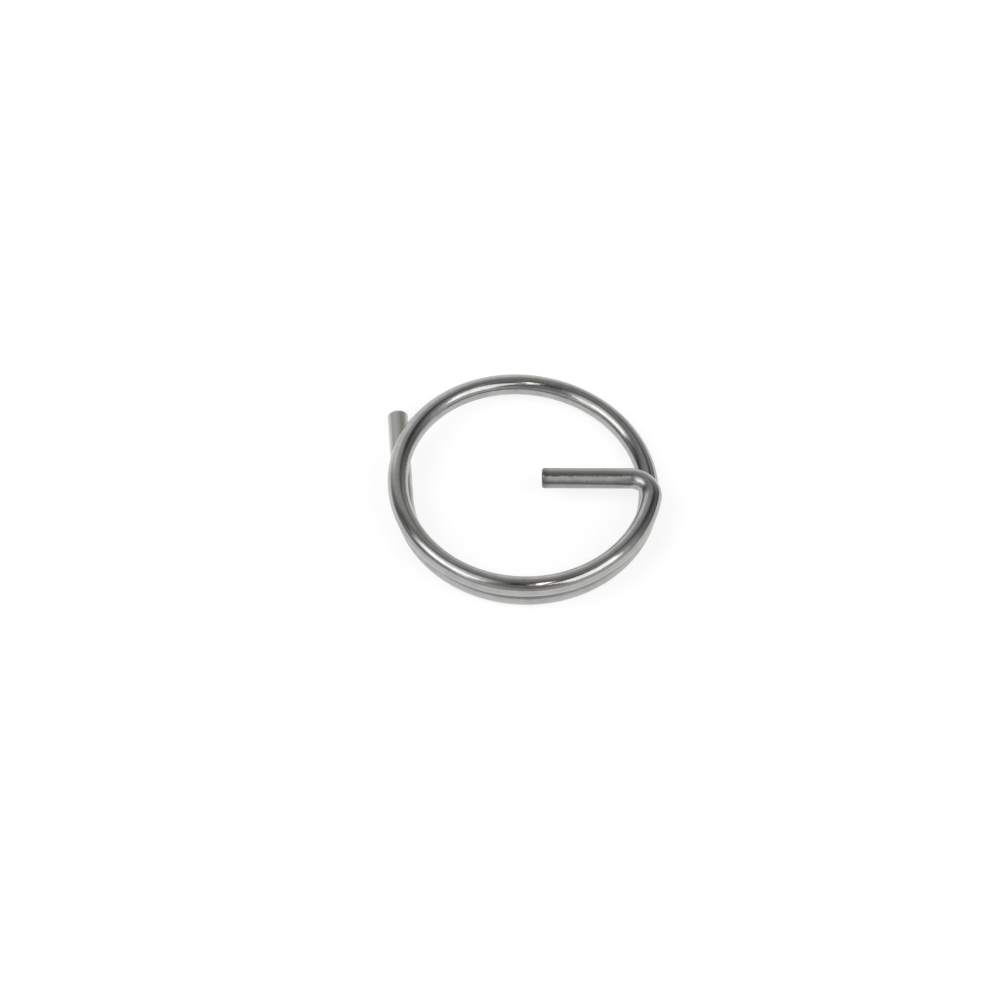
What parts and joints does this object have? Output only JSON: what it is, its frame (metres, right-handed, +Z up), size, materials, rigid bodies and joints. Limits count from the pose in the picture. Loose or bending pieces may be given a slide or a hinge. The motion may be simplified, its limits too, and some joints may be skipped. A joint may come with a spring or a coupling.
{
  "type": "split ring",
  "caption": "Split ring bent from a single round wire: a flat coil with a straight tail and a leg bent in towards the middle, for keeping a cross-drilled pin in place.",
  "frame": {"origin": "centre of the lower half turn, on the surface that the ring lies on", "axes": "+Z up, square to the flat ring; the leg runs along X with its tip towards -X; the tail points towards +Y"},
  "size_m": [0.027, 0.0268, 0.0041],
  "materials": {
    "wire": "bright drawn stainless wire, polished, with faint marks along the wire"
  },
  "bodies": {
    "root": {"ring": "wire"}
  },
  "joints": []
}
